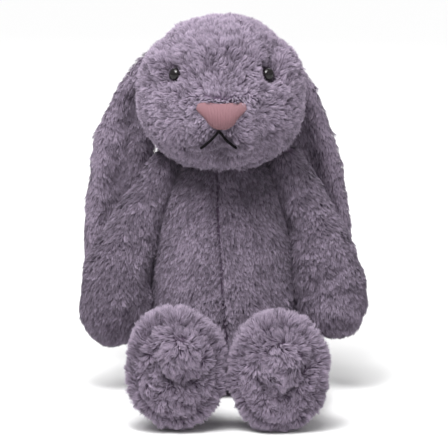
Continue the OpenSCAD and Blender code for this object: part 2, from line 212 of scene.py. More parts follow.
FUR = fur_material("plush_pile", (0.040, 0.029, 0.045), (0.188, 0.148, 0.206), (0.45, 0.385, 0.48), (1.16, 1.14, 1.16))
LINING = fur_material("lining_pile", (0.12, 0.07, 0.085), (0.30, 0.20, 0.24), (0.50, 0.37, 0.42), (1.12, 1.10, 1.10))
TAILFUR = fur_material("tail_pile", (0.12, 0.09, 0.13), (0.30, 0.25, 0.32), (0.55, 0.48, 0.57), (1.15, 1.15, 1.15))
SKIN = material("plush_backing", (0.10, 0.07, 0.11), 0.95, 0.1, (0.8, 0.7, 0.85), 0.1)
NOSE = material("nose_thread", (0.215, 0.104, 0.122), 0.6, 0.2, (1, 0.85, 0.88), 0.35)
THREAD = material("mouth_thread", (0.005, 0.004, 0.005), 0.9, 0.0, (1, 1, 1), 0.1)
EYE = material("eye_plastic", (0.010, 0.008, 0.009), 0.09, 0, (1, 1, 1), 0.42, 0.0)
IRIS = material("eye_iris", (0.055, 0.040, 0.038), 0.12, 0, (1, 1, 1), 0.5, 1.0)
TAPE = material("label_tape", (0.80, 0.79, 0.77), 0.7, 0.15, (1, 1, 1), 0.3)

def paint(o, m):
    o.data.materials.clear()
    o.data.materials.append(m)

# ---------------------------------------------------------------- shapes (mm)
INSET = 1.2
HEAD_C = np.array([-1.5, -6, 187.0])
def shoulder(s): return np.array([s * 42.5, -2, 136.0])
def hip(s): return np.array([s * 43.5, -49, 24.0])
def ankle(s): return np.array([-29 if s < 0 else 36, -96, 24.0])

TORSO = [[1, 26, 24], [2.2, 37, 33], [7, 43.5, 38], [13, 46.5, 40.6], [22, 47.6, 42], [36, 48, 42.6], [52, 47.4, 42.6],
         [68, 46.6, 41.6], [82, 45.2, 39.8], [95, 43.2, 37.4], [108, 40.8, 34.2], [119, 38, 30.6], [128, 35, 27.4],
         [136, 32, 25], [144, 28.4, 23.5], [152, 22, 20], [156, 12, 12]]

def torso_rings():
    st = spline([[0, 0, z, a, b] for z, a, b in TORSO], 3)
    n = 64
    w = -2 * math.pi * np.arange(n) / n
    out = []
    for q in st:
        a, b = q[3] - INSET, q[4] - INSET
        c, s = np.cos(w), np.sin(w)
        out.append(np.stack([a * np.sign(c) * np.abs(c) ** 0.95, b * np.sign(s) * np.abs(s) ** 0.95, np.full(n, max(q[2], 2.6))], 1))
    return out

EYE_Z = 16.5
def valley(d, wide):
    """1 in the sewn valley over each eye, falling to 0 beside it."""
    lat = np.degrees(np.arcsin(np.clip(np.abs(d[:, 0]), 0, 1)))
    lon = np.degrees(np.arctan2(d[:, 2], d[:, 1]))
    line = 38 + 6 * smooth(180 - lon, 25, 85)
    return np.exp(-((lat - line) / wide) ** 2) * (0.38 * smooth(lon, 35, 80) + 0.62 * smooth(lon, 95, 125)) * (1 - smooth(lon, 150, 163))
def head_r(d):
    a, b, c = 49.5, 43.5, 46.5
    q = 2.15
    lo = d[:, 2] < 0
    p = np.where(lo, 2.16, 2.2)
    ax, az = np.abs(d[:, 0]) / a, np.abs(d[:, 2]) / np.where(lo, 44.4, c)
    flat = (ax ** p + az ** p) ** (1 / p)
    e = (flat ** q + (np.abs(d[:, 1]) / b) ** q) ** (-1 / q)
    front = np.where(d[:, 1] < 0, np.minimum(1, -d[:, 1] / 0.45), 0)
    u, v = d[:, 0] / 0.42, (d[:, 2] + 0.14) / np.where(d[:, 2] < -0.14, 0.34, 0.36)
    e = e + 20.5 * front * np.exp(-u * u - v * v)
    def bump(x, y, z, amp, wide):
        k = unit([x, y, z])
        ang = np.arccos(np.clip(d @ k, -1, 1))
        return amp * np.exp(-(ang / wide) ** 2)
    for s in (-1, 1):
        e += bump(s * 0.66, -0.58, -0.30, 3.2, 0.30)         # cheeks
        e += bump(s * 0.25, -0.88, -0.37, 6.6, 0.14)         # muzzle pads
        e += bump(s * 28.5, -32, EYE_Z, -5.0, 0.15)          # eye dents
        e += bump(s * 0.80, -0.42, 0.42, 2.2, 0.22)          # brow lobes outside the valleys
        e += bump(s * 0.46, -0.80, -0.06, -2.6, 0.13)        # the fold between cheek and muzzle
    e += bump(0, -0.76, -0.64, 5.4, 0.18)                     # chin
    e += bump(0, -0.86, -0.53, -4.2, 0.10)                    # the fold under the mouth
    e += bump(0, -0.80, 0.60, 2.0, 0.34)                      # forehead
    e -= 2.4 * np.exp(-(d[:, 0] / 0.028) ** 2) * smooth(-d[:, 1], 0.5, 0.8) * smooth(-d[:, 2], 0.16, 0.26) * (1 - smooth(-d[:, 2], 0.50, 0.62))
    # the sewn valleys that run from the eyes up over the crown
    e -= 7.4 * valley(d, 6.0)
    return e

def sphere_dirs(n=96, m=64):
    q = np.linspace(2, 178, m) * math.pi / 180
    w = -2 * math.pi * np.arange(n) / n
    return [np.stack([np.sin(a) * np.cos(w), np.sin(a) * np.sin(w), np.full(n, -np.cos(a))], 1) for a in q]

def head_rings(extra=0.0):
    return [HEAD_C + (head_r(d) + extra)[:, None] * d for d in sphere_dirs(128, 88)]

ARM = {
 LEFT: [[-28, -2, 151, 3, 3], [-30.4, -2, 149.5, 7, 7], [-34, -2, 146, 9.8, 10.8], [-38.2, -2.4, 138, 11.4, 13],
        [-43.2, -3.4, 127, 12.4, 14], [-49.2, -5, 115, 14.4, 14.8], [-55.2, -7.4, 104, 16.2, 15.8], [-60.8, -10, 92, 18.6, 16.8],
        [-65.2, -13, 78, 21, 17.8], [-67.8, -15, 63, 22.6, 18.6], [-68.4, -16, 50, 22.4, 18], [-68.6, -16.4, 41, 19, 15.4],
        [-68.2, -16.5, 34.8, 13.6, 11.4], [-67.8, -16.5, 31, 5, 5]],
 RIGHT: [[28, -2, 151, 3, 3], [31, -2, 149.5, 8, 7], [35.4, -2, 146, 12.2, 10.8], [40.2, -2.4, 138, 13.8, 13],
        [45.2, -3.4, 127, 14.8, 14], [50.2, -5, 117, 15.6, 14.8], [55.8, -7.4, 106, 17.2, 15.8], [60.4, -10, 94, 18.8, 16.8],
        [63.4, -13, 80, 21.6, 18], [66, -15, 66, 23.2, 18.8], [67.8, -16, 54, 22.4, 18.2], [68.4, -16.4, 45, 18.6, 15.6],
        [68.4, -16.5, 39.6, 13, 11.4], [68.4, -16.5, 35.8, 5, 5]]}

EAR = {
 LEFT: [[-36, 20, 209, 2.6, 2.4], [-40, 21.5, 206, 7, 4.4], [-45, 24, 200, 10.5, 5.4], [-49, 27, 192, 13.4, 5.8],
        [-53.4, 31, 183, 16, 5.6], [-57, 34, 170, 18, 5.4], [-61.4, 36, 156, 19.6, 5.4], [-64.2, 36.8, 142, 21, 5.2],
        [-67.6, 37.8, 111, 23, 5.2], [-68.6, 38, 85, 22.8, 5.2], [-68.8, 37.4, 72, 21.4, 5], [-68.6, 36.6, 64, 17, 4.8], [-68.2, 36, 58.6, 6, 3.4]],
 RIGHT: [[34, 20, 207, 2.6, 2.4], [36, 21.5, 205, 6, 4.4], [38.6, 24, 200, 7.8, 5.4], [42.4, 27, 193, 10, 5.8],
        [46.4, 30.5, 183, 13, 5.6], [49.2, 33.5, 170, 15.6, 5.4], [52.4, 36, 156, 17.6, 5.4], [55.8, 36.8, 142, 19, 5.2],
        [61.4, 37.8, 111, 20, 5.2], [63, 38, 85, 21.2, 5.2], [63.8, 37.4, 72, 20, 5], [64, 36.6, 64, 16, 4.8], [63.7, 36, 58.6, 6, 3.4]]}

def leg_st(s):
    h, k = hip(s) - [s * 4, 0, 0], ankle(s)
    d = unit(k - h)
    rows = [[*(h - 21 * d), 5, 5], [*(h - 18 * d), 12, 12], [*(h - 11 * d), 17, 17], [*h, 19.4, 20.4]]
    rows += [[*(h + (k - h) * f), 19.4 - 1.6 * f, 20.4 - 3 * f] for f in (0.3, 0.6)]
    rows += [[*(k - 6 * d), 17.6, 17.6], [*k, 16.6, 16.6], [*(k + 9 * d), 13, 13], [*(k + 14 * d), 6, 6]]
    return rows

FOOT_MID = {LEFT: -28.6, RIGHT: 32.4}
WHORL = {LEFT: (3.0, 15.0), RIGHT: (1.0, 12.5)}
SOLE_Y, FOOT_Z = -131.0, {LEFT: 37.5, RIGHT: 35.3}
FOOT = [[1.2, 6, 8], [0.8, 14, 18], [0.9, 19, 24], [1.8, 22.8, 28.6], [4.2, 25.4, 31.6], [6.6, 27.6, 33.6], [10, 29, 34.6], [15, 29.2, 34.9], [20, 28.4, 34.2],
        [25, 26.4, 32], [28.8, 22, 28], [30.4, 14, 20], [31, 6, 9]]

def foot_rings(s):
    st = spline([[0, *q] for q in FOOT], 2)
    n = 56
    w = -2 * math.pi * np.arange(n) / n
    out = []
    for _, y, a, b in st:
        a, b = max(a - INSET, 1.5), max(b - INSET, 2)
        zz = FOOT_Z[s] + b * np.sin(w)
        yy = SOLE_Y + 3.4 + y * 0.9 + 0.07 * (zz - 10)
        out.append(np.stack([FOOT_MID[s] + a * np.cos(w), yy, zz], 1))
    return out

def tuft(P, s):
    """Distance from the middle of the raised tuft on a sole, in its own radii, and 1 in the hollow under it."""
    wx, wz = WHORL[s]
    x, z = P[:, 0] - FOOT_MID[s] - wx, P[:, 2] - FOOT_Z[s] - wz + 3.5
    wob = 1 + 0.16 * waves(P, 22, 61 + s, 2)
    d = np.hypot(x / 11.5, z / 12.5) * wob
    side = smooth(-z - 0.5 * x * (1 if s == LEFT else -1), -5, 9)
    return d, np.exp(-((d - 1.34) / 0.26) ** 2) * side * np.clip(0.75 + 0.5 * waves(P, 15, 81 + s, 2), 0.1, 1.2)

SKINS = {}
def skin(name, rings, body, voxel=0.0045, cap=2.6):
    V, quads, tris = loft(rings)
    o = mesh_from(name, V, quads, tris)
    import bmesh
    bm = bmesh.new(); bm.from_mesh(o.data)
    bmesh.ops.recalc_face_normals(bm, faces=bm.faces); bm.to_mesh(o.data); bm.free()
    paint(o, SKIN)
    SKINS[name] = dict(obj=o, body=body, voxel=voxel, cap=cap)
    return o

skin("torso_skin", torso_rings(), "torso")
skin("head_skin", head_rings(), "head", 0.0035, 1.0)
for s, side in ((LEFT, "left"), (RIGHT, "right")):
    skin(f"arm_{side}_skin", tube_rings(ARM[s], (0, 1, 0), 36, 3, INSET), f"arm_{side}", 0.004)
    skin(f"ear_{side}_skin", tube_rings(EAR[s], (0, 1, 0), 36, 3, 1.0), f"ear_{side}", 0.003, 1.2)
    skin(f"leg_{side}_skin", tube_rings(leg_st(s), (0, 0, 1), 36, 3, INSET), f"leg_{side}", 0.004)
    skin(f"foot_{side}_skin", foot_rings(s), f"foot_{side}", 0.0038, 1.8)
skin("tail_skin", [np.array([0, 48.0, 24]) + 10.5 * d for d in sphere_dirs(32, 20)], "torso", 0.004, 0.5)

# ---------------------------------------------------------------- stuffing them
def stuff_all():
    sc = bpy.context.scene
    before = {}
    for k, r in SKINS.items():
        o = r["obj"]
        m = o.modifiers.new("remesh", "REMESH")
        m.mode = "VOXEL"; m.voxel_size = r["voxel"]
        bake_modifiers(o)
        before[k] = coords(o.data)
        c = o.modifiers.new("cloth", "CLOTH")
        c.settings.quality = 6
        c.settings.use_pressure = True
        c.settings.uniform_pressure_force = 4.0
        c.settings.effector_weights.gravity = 0.0
        c.settings.tension_stiffness = 18
        c.settings.compression_stiffness = 14
        c.settings.bending_stiffness = 0.6
        c.point_cache.frame_start, c.point_cache.frame_end = 1, 20
    for f in range(1, 21):
        sc.frame_set(f)
    for k, r in SKINS.items():
        o = r["obj"]
        bake_modifiers(o)
        move = coords(o.data) - before[k]
        far = np.linalg.norm(move, axis=1, keepdims=True)
        set_coords(o.data, before[k] + move * np.minimum(1, r["cap"] / np.maximum(far, 1e-9)))
    sc.frame_set(1)
    for o in [r["obj"] for r in SKINS.values()]:
        m = o.modifiers.new("sub", "SUBSURF"); m.levels = m.render_levels = 1
        bake_modifiers(o)
        o.data.polygons.foreach_set("use_smooth", np.full(len(o.data.polygons), True))

def plain_all():
    for r in SKINS.values():
        o = r["obj"]
        m = o.modifiers.new("sub", "SUBSURF"); m.levels = m.render_levels = 1
        bake_modifiers(o)

plain_all() if Q else stuff_all()

# seams and creases, set in after the stuffing
EAR_LINE = {k: spline(EAR[k], 3)[::-1] for k in EAR}
def across_ear(P, s):
    """How far out across the ear a point is, -1 at the edge by the body and 1 at the outer edge."""
    t = EAR_LINE[s]
    return s * (P[:, 0] - np.interp(P[:, 2], t[:, 2], t[:, 0])) / np.maximum(np.interp(P[:, 2], t[:, 2], t[:, 3]), 4)
def ear_scoop(P, s):
    """The rolled outer rim and the long hollow beside it, on the face of the ear."""
    t = EAR_LINE[s]
    u = across_ear(P, s) + 0.10 * waves(P, 40, 91 + s, 2)
    face = smooth(np.interp(P[:, 2], t[:, 2], t[:, 1]) - P[:, 1], -1, 2)
    along = smooth(-P[:, 2], -200, -185) * smooth(P[:, 2], 62, 84)
    return (2.6 * np.exp(-((u - 0.62) / 0.24) ** 2) - 3.6 * np.exp(-((u + 0.02) / 0.30) ** 2) + 1.6 * np.exp(-((u + 0.52) / 0.2) ** 2)) * face * along
def SEAM_X(z): return np.interp(z, [30, 130], [2.0, -4.4])
def crease(name, depth):
    o = SKINS[name]["obj"]
    V, N = coords(o.data), normals(o.data)
    set_coords(o.data, V + N * depth(V)[:, None])

crease("torso_skin", lambda V: -2.4 * np.exp(-((V[:, 0] - SEAM_X(V[:, 2])) / 1.9) ** 2) * smooth(V[:, 2], 12, 30) * (1 - smooth(V[:, 2], 140, 150))
       + 1.0 * waves(V, 46, 3) - 1.2 * np.exp(-(V[:, 1] / 2.2) ** 2) * (np.abs(V[:, 0]) > 20))
crease("head_skin", lambda V: 0.8 * waves(V, 38, 5) + 0.75 * waves(V, 9.5, 6, 2) * smooth(-V[:, 1], -10, 20))
for s, side in ((LEFT, "left"), (RIGHT, "right")):
    st = spline(ARM[s], 3)
    def arm_depth(V, s=s, st=st):
        yc = np.interp(V[:, 2], st[::-1, 2], st[::-1, 1])
        seam = -1.6 * np.exp(-((V[:, 1] - yc) / 2.0) ** 2)
        out = seam + 1.3 * waves(V, 34, 11 + s)
        if s == RIGHT:
            for (x, z, deep, wide) in ((62, 74, -2.6, 4.4), (56, 66, -2.0, 3.8)):
                k = (V[:, 2] - z) - 0.5 * (V[:, 0] - x)
                out += deep * np.exp(-(k / wide) ** 2) * (V[:, 1] < -8) * np.exp(-((V[:, 0] - x) / 12) ** 2)
        return out
    crease(f"arm_{side}_skin", arm_depth)
    crease(f"ear_{side}_skin", lambda V, s=s: ear_scoop(V, s) + 0.9 * waves(V, 36, 21 + s))
    crease(f"leg_{side}_skin", lambda V, s=s: 1.2 * waves(V, 40, 31 + s))
    def foot_depth(V, s=s):
        x, z = (V[:, 0] - FOOT_MID[s]) / 27.6, (V[:, 2] - FOOT_Z[s]) / 33.6
        rr = np.sqrt((x / 0.93) ** 2 + (z / 0.95) ** 2)
        front = V[:, 1] < SOLE_Y + 12
        out = -2.0 * np.exp(-((rr - 0.86) / 0.06) ** 2) * front * (1 - 0.75 * smooth(z, 0.2, 0.6))
        d, low = tuft(V, s)
        out += 5.4 * np.exp(-d ** 3) * front * (1 + 0.35 * waves(V, 14, 47 + s, 2))   # the raised tuft
        out -= 2.6 * low * front
        return out + 1.0 * waves(V, 30, 41 + s) + (1.3 * waves(V, 17, 44 + s, 2) + 0.6 * waves(V, 9, 45 + s, 2)) * front
    crease(f"foot_{side}_skin", foot_depth)

# ---------------------------------------------------------------- fur
FUR_TRIS = [0]
def grow(name, source, body, density, length, flow, seed, mat=FUR, keep=None, lie=0.62, width=0.46, swirl=0.5,
         clump=0.42, pull=0.58, sink=0.7, jitter=0.25, bend=None, ruffle=0.0, shade=0.0):
    """Tufts of pile as narrow leaves that lie over, gathered into clumps. density and clump are counts a mm2, length in mm."""
    me = SKINS[source]["obj"].data
    V, N, T = coords(me), normals(me), triangles(me)
    g = np.random.default_rng(seed)
    A, B, C = V[T[:, 0]], V[T[:, 1]], V[T[:, 2]]
    area = np.linalg.norm(np.cross(B - A, C - A), axis=1) / 2
    mid = (A + B + C) / 3
    nm = unit(N[T].mean(1))
    d = density * np.ones(len(T)) if keep is None else density * keep(mid, nm)
    want = area * d * (0.4 if Q else 1.0)
    count = np.floor(want + g.random(len(T))).astype(int)
    idx = np.repeat(np.arange(len(T)), count)
    if not len(idx):
        return None
    u, v = g.random(len(idx)), g.random(len(idx))
    flip = u + v > 1
    u[flip], v[flip] = 1 - u[flip], 1 - v[flip]
    w0 = 1 - u - v
    P = w0[:, None] * A[idx] + u[:, None] * B[idx] + v[:, None] * C[idx]
    n = unit(w0[:, None] * N[T[idx, 0]] + u[:, None] * N[T[idx, 1]] + v[:, None] * N[T[idx, 2]])
    F = flow(P, n)
    F = unit(F - (F * n).sum(1)[:, None] * n)
    turn = swirl * (waves(P, 26, seed + 1) * 1.2 + 0.6 * waves(P, 8, seed + 2)) + jitter * g.normal(size=len(P)) + ruffle * 1.5 * waves(P, 11, seed + 8, 2)
    S = np.cross(n, F)
    F = np.cos(turn)[:, None] * F + np.sin(turn)[:, None] * S
    L = length(P, n) if callable(length) else np.full(len(P), float(length))
    L = L * g.uniform(0.72, 1.12, len(P)) * (1 + 0.10 * waves(P, 12, seed + 3))
    stand = np.clip(1 - lie + (0.12 + 0.3 * ruffle) * waves(P, 9, seed + 4) + 0.10 * g.normal(size=len(P)), 0.10, 1.1)
    P = P - n * sink
    d1 = unit(n * (stand + 0.40)[:, None] + F * lie)
    d2 = unit(n * (stand + 0.02)[:, None] + F * (lie + 0.25))
    p1 = P + d1 * (0.48 * L)[:, None]
    p2 = p1 + d2 * (0.56 * L)[:, None]
    # clumps
    centres = np.flatnonzero(g.random(len(P)) < clump / density)
    tree = kdtree.KDTree(len(centres))
    for k, c in enumerate(centres):
        tree.insert(P[c], k)
    tree.balance()
    near = np.array([tree.find(p)[1] for p in P])
    c = centres[near]
    gather = np.minimum(pull * g.uniform(0.4, 1.2, len(P)), 0.95)
    p1 = p1 + (p1[c] - p1) * (0.25 * gather)[:, None]
    p2 = p2 + (p2[c] - p2) * gather[:, None]
    if bend is not None:
        p1, p2 = bend(p1), bend(p2)
    axis = unit(p2 - P)
    side = unit(np.cross(axis, n) + 0.5 * g.normal(size=(len(P), 1)) * n)
    half = (width * g.uniform(0.7, 1.25, len(P)) / 2)[:, None]
    V4 = np.stack([P, p1 + side * half, p2, p1 - side * half], 1).reshape(-1, 3)
    k = np.arange(len(P)) * 4
    tris = np.vstack([np.stack([k, k + 1, k + 3], 1), np.stack([k + 3, k + 1, k + 2], 1)])
    # tone differs at random from clump to clump and tuft to tuft; the shade function adds painted light and shade by
    # place
    tone_and_painted_light = np.clip(0.5 + 0.21 * g.normal(size=len(centres))[near] + 0.15 * g.normal(size=len(P)) + 0.16 * waves(P, 30, seed + 6)
                   + (shade(P) if callable(shade) else shade), 0.02, 0.98)
    uv = np.zeros((len(P), 4, 2))
    uv[:, :, 0] = tone_and_painted_light[:, None] + np.array([0, 0.008, 0, -0.008])[None]
    uv[:, :, 1] = np.array([0.02, 0.5, 0.98, 0.5])[None]
    o = mesh_from(name, V4, None, tris, uv.reshape(-1, 2))
    paint(o, mat)
    FUR_TRIS[0] += 2 * len(P)
    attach(o, body)
    print("fur", name, len(P))
    return o

NOSE_Z = -2.2
NOSE_C = HEAD_C + np.array([0, -60, NOSE_Z])
def down(P, n): return np.tile([0.0, 0.0, -1.0], (len(P), 1))
def head_flow(P, n):
    out = unit(P - NOSE_C)
    back = np.tile([0.0, 0.55, -0.25], (len(P), 1))
    lower = smooth(HEAD_C[2] - P[:, 2], 0, 25)[:, None]
    brim = (in_nose(P, 1.5) & (P[:, 2] > HEAD_C[2] + NOSE_Z + 2.4))[:, None]
    out = np.where(brim, np.array([0.0, 0.0, -0.7]) + 0.25 * out, out)
    return out + back * 0.5 + lower * np.array([0, 0.1, -0.7])
def head_length(P, n):
    d = np.linalg.norm((P - NOSE_C) * [1, 0.6, 1], axis=1)
    L = 3.8 + 2.4 * smooth(d, 12, 40)
    L = L * (1 - 0.42 * valley(unit(P - HEAD_C), 5.0))
    for s in (-1, 1):
        e = np.linalg.norm(P - EYE_AT[s], axis=1)
        L = L * (0.6 + 0.4 * smooth(e, 5, 11))
    return L
def head_shade(P):
    # painted light and shade on the head fur: the whole head painted lighter, painted shade in the sewn valleys and on
    # the underside of the head
    Q = P - HEAD_C
    out = 0.06 - 0.30 * valley(unit(Q), 4.5)
    out -= 0.56 * np.exp(-((Q[:, 0] / 19) ** 2 + ((Q[:, 2] + 21) / 9) ** 2)) * (Q[:, 1] < -30)      # painted shade under the nose
    out -= 0.22 * smooth(-Q[:, 2], 24, 38)
    return out
def eye_dir(s): return unit([s * 28.5, -32, EYE_Z])
def eye_axis(s): return unit([s * math.sin(math.radians(44)), -math.cos(math.radians(44)), 0.14])
def head_point(x, z, off):
    d = unit(np.array([[x, -58.0, z]]))
    return (HEAD_C + (head_r(d) + off)[:, None] * d)[0]
def cad_head_at(d):
    a, b = 51, 45
    c = 45.0 if d[2] > 0 else 43.0
    p = 2.05 if d[2] > 0 else 2.05 + 0.35 * min(1, -2 * d[2])
    e = ((abs(d[0]) / a) ** p + (abs(d[1]) / b) ** p + (abs(d[2]) / c) ** p) ** (-1 / p)
    front = min(1, -d[1] / 0.4) if d[1] < 0 else 0
    return e + 15 * front * math.exp(-(d[0] / 0.52) ** 2 - ((d[2] + 0.22) / 0.42) ** 2)
EYE_AT = {s: HEAD_C + cad_head_at(eye_dir(s)) * eye_dir(s) - 2.4 * eye_axis(s) for s in (-1, 1)}

def nose_r(w): return 1.04 / (1 - 0.24 * np.sin(3 * w))
def in_nose(P, grow_by=1.0):
    x, z = P[:, 0] - HEAD_C[0], P[:, 2] - (HEAD_C[2] + NOSE_Z)
    w = np.arctan2(z / 6.5, x / 13.0)
    r = np.hypot(z / 6.5, x / 13.0)
    return (r < nose_r(w) * grow_by) & (P[:, 1] < -50)
def head_keep(P, n):
    k = np.ones(len(P))
    k[in_nose(P, 0.80)] = 0
    for s in (-1, 1):
        rel = P - EYE_AT[s]
        along = rel @ eye_axis(s)
        k[np.linalg.norm(rel - along[:, None] * eye_axis(s), axis=1) < 3.5] = 0
    k[(P[:, 2] < 150) & (np.hypot(P[:, 0], P[:, 1]) < 17)] = 0
    return k

D = 4.6
grow("head_fur_front", "head_skin", "head", D * 1.1, head_length, head_flow, 100, keep=lambda P, n: head_keep(P, n) * (P[:, 1] < -16), lie=0.50, swirl=0.40, ruffle=0.7, clump=0.30, pull=0.66, shade=head_shade)
grow("head_fur_back", "head_skin", "head", D * 0.8, 6.2, head_flow, 101, keep=lambda P, n: head_keep(P, n) * (P[:, 1] >= -16), lie=0.55, swirl=0.35, ruffle=0.4, shade=head_shade)
def torso_keep(P, n):
    k = (P[:, 2] < 147) & (P[:, 2] > 3.2) & ~((np.abs(P[:, 0] - SEAM_X(P[:, 2])) < 0.3) & (P[:, 1] < 0))
    return k * np.where(P[:, 2] < 9, 0.7, 1.0)
def torso_length(P, n):
    return (3.8 + 1.0 * smooth(P[:, 2], 6, 26)) * (1 - 0.25 * np.exp(-((P[:, 0] - SEAM_X(P[:, 2])) / 2.0) ** 2))
def torso_shade(P):
    # painted shade on the torso fur: darker overall, under the chin, towards the sides and in the front seam; the waves
    # term is tone that differs at random
    return -0.14 + 0.09 * waves(P, 15, 75) - 0.30 * smooth(P[:, 2], 112, 142) - 0.12 * smooth(np.abs(P[:, 0]), 24, 44) * (P[:, 1] < 0) - 0.14 * np.exp(-((P[:, 0] - SEAM_X(P[:, 2])) / 0.9) ** 2) * (P[:, 1] < 0)
def torso_flow(P, n):
    away = np.where(P[:, 1] < 0, (P[:, 0] - SEAM_X(P[:, 2])) / 5, 0)
    away = np.sign(away) * np.exp(-np.abs(away)) * 0.6
    return np.stack([away, np.zeros(len(P)), np.full(len(P), -1.0)], 1)
def floor_clear(lowest):
    def f(p):
        p = p.copy()
        p[:, 2] = np.maximum(p[:, 2], lowest)
        return p
    return f
grow("torso_fur_front", "torso_skin", "torso", D, torso_length, torso_flow, 110, keep=lambda P, n: torso_keep(P, n) * (P[:, 1] < 0), lie=0.62, swirl=0.28, shade=torso_shade, bend=floor_clear(0.6))
grow("torso_fur_back", "torso_skin", "torso", D * 0.75, torso_length, down, 111, keep=lambda P, n: torso_keep(P, n) * (P[:, 1] >= 0), lie=0.62, swirl=0.28, shade=torso_shade, bend=floor_clear(0.6))
grow("tail_fur", "tail_skin", "torso", 3.4, 8.5, lambda P, n: down(P, n) * 0.4 + 0.3 * np.random.default_rng(5).normal(size=P.shape), 120, mat=TAILFUR, lie=0.3, swirl=1.2, keep=lambda P, n: 1.0 * (P[:, 1] > 41), bend=floor_clear(1.0))
def ear_shade(P, s):
    # painted light on the rolled outer rim, painted shade in the hollow beside it and along the edge by the body, the
    # left ear darker and the right lighter as light falls; the waves term is tone that differs at random
    u = across_ear(P, s)
    return (-0.17 + 0.09 * s + 0.34 * smooth(u, 0.15, 0.7) - 0.26 * np.exp(-((u + 0.05) / 0.3) ** 2)
            - 0.20 * smooth(-u, 0.3, 0.9) + 0.12 * waves(P, 17, 71 + s))
def foot_length(P, s):
    L = np.where(P[:, 1] < SOLE_Y + 9, 5.0, 6.4) + 1.2 * smooth(P[:, 2], 36, 62)
    d, low = tuft(P, s)
    rr = np.hypot((P[:, 0] - FOOT_MID[s]) / 25.7, (P[:, 2] - FOOT_Z[s]) / 31.9)
    front = P[:, 1] < SOLE_Y + 12
    L = L * (1 + 0.2 * np.exp(-d ** 3) * front) * (1 - 0.36 * low * front)
    return L * (1 - 0.30 * np.exp(-((rr - 0.86) / 0.05) ** 2) * front)
def foot_shade(P, s):
    # painted light on the whole foot and the raised tuft, painted shade in the hollow under the tuft and in the crease
    # round the sole
    d, low = tuft(P, s)
    rr = np.hypot((P[:, 0] - FOOT_MID[s]) / 25.7, (P[:, 2] - FOOT_Z[s]) / 31.9)
    front = P[:, 1] < SOLE_Y + 12
    return 0.10 + (0.16 * np.exp(-d ** 3) - 0.30 * low - 0.20 * np.exp(-((rr - 0.86) / 0.05) ** 2)) * front
for s, side in ((LEFT, "left"), (RIGHT, "right")):
    k = 0 if s == LEFT else 1
    # the arm fur is painted darker as shade, the left arm more than the right; the waves term is tone that differs at
    # random
    grow(f"arm_{side}_fur", f"arm_{side}_skin", f"arm_{side}", D, 5.4, lambda P, n, s=s: np.tile([s * 0.25, -0.12, -1.0], (len(P), 1)), 130 + k, lie=0.62, swirl=0.34, shade=lambda P, s=s: -0.335 + 0.075 * s + 0.17 * waves(P, 15, 73 + s),
         keep=lambda P, n: 1.0 * (P[:, 2] < 152))
    grow(f"leg_{side}_fur", f"leg_{side}_skin", f"leg_{side}", D * 0.7, 5.2, lambda P, n: np.tile([0.0, -1.0, -0.15], (len(P), 1)), 140 + k, lie=0.66, swirl=0.3, bend=floor_clear(0.5),
         keep=lambda P, n: np.where((P[:, 1] > -109) & (P[:, 1] < -26), 1.0, 0.0))
    def foot_flow(P, n, s=s):
        x, z = P[:, 0] - FOOT_MID[s], P[:, 2] - FOOT_Z[s]
        sole = P[:, 1] < SOLE_Y + 8
        out = np.stack([x, np.full(len(P), 30.0), z * 0.8], 1)                      # round the edge and back
        wx, wz = WHORL[s]
        dx, dz = x - wx, z - wz - 4
        far = np.maximum(np.hypot(dx, dz), 1e-3)
        turn = 1.3 * waves(P, 16, 63 + s, 2)
        a = np.stack([0.6 * dx / (far + 5), np.full(len(P), -0.3 * np.exp(-far / 9)), 0.85 * np.tanh(dz / 6) - 0.5], 1)
        a = np.stack([a[:, 0] * np.cos(turn) - a[:, 2] * np.sin(turn), a[:, 1], a[:, 0] * np.sin(turn) + a[:, 2] * np.cos(turn)], 1)
        r = np.hypot(x / 22.0, z / 28.0)
        t = smooth(r, 0.66, 0.86)[:, None] * sole[:, None] + (~sole)[:, None]
        ring = np.stack([x, np.full(len(P), -4.0), z], 1)
        rim = unit(np.stack([-z * 0.4 + x, np.zeros(len(P)), x * 0.4 + z - 8], 1))
        return np.where(sole[:, None], unit(a) * (1 - t) + rim * t, unit(out))
    grow(f"foot_{side}_fur", f"foot_{side}_skin", f"foot_{side}", D * 1.05, lambda P, n, s=s: foot_length(P, s), foot_flow, 150 + k, lie=0.52, swirl=0.42, ruffle=0.6, shade=lambda P, s=s: foot_shade(P, s), clump=0.30, pull=0.64, bend=floor_clear(0.4),
         keep=lambda P, n: np.where(P[:, 1] > SOLE_Y + 26, 0.8, 1.0))
    grow(f"ear_{side}_fur", f"ear_{side}_skin", f"ear_{side}", D * 0.9, 5.2, lambda P, n, s=s: np.tile([s * 0.12, 0.0, -1.0], (len(P), 1)), 160 + k, lie=0.68, swirl=0.30, shade=lambda P, s=s: ear_shade(P, s),
         keep=lambda P, n: 1.0 * (n[:, 1] < 0.35))
    grow(f"ear_{side}_lining_pile", f"ear_{side}_skin", f"ear_{side}", D * 0.8, 3.2, down, 170 + k, mat=LINING, lie=0.66, swirl=0.2,
         keep=lambda P, n: 1.0 * (n[:, 1] >= 0.35))
print("fur triangles", FUR_TRIS[0])

# ---------------------------------------------------------------- face
def turned(dome_pts, axis, at):
    ax = unit(axis)
    up = unit(np.array([0, 0, 1.0]) - ax[2] * ax)
    sx = np.cross(up, ax)
    return at + dome_pts[:, :1] * sx + dome_pts[:, 1:2] * up + dome_pts[:, 2:] * ax

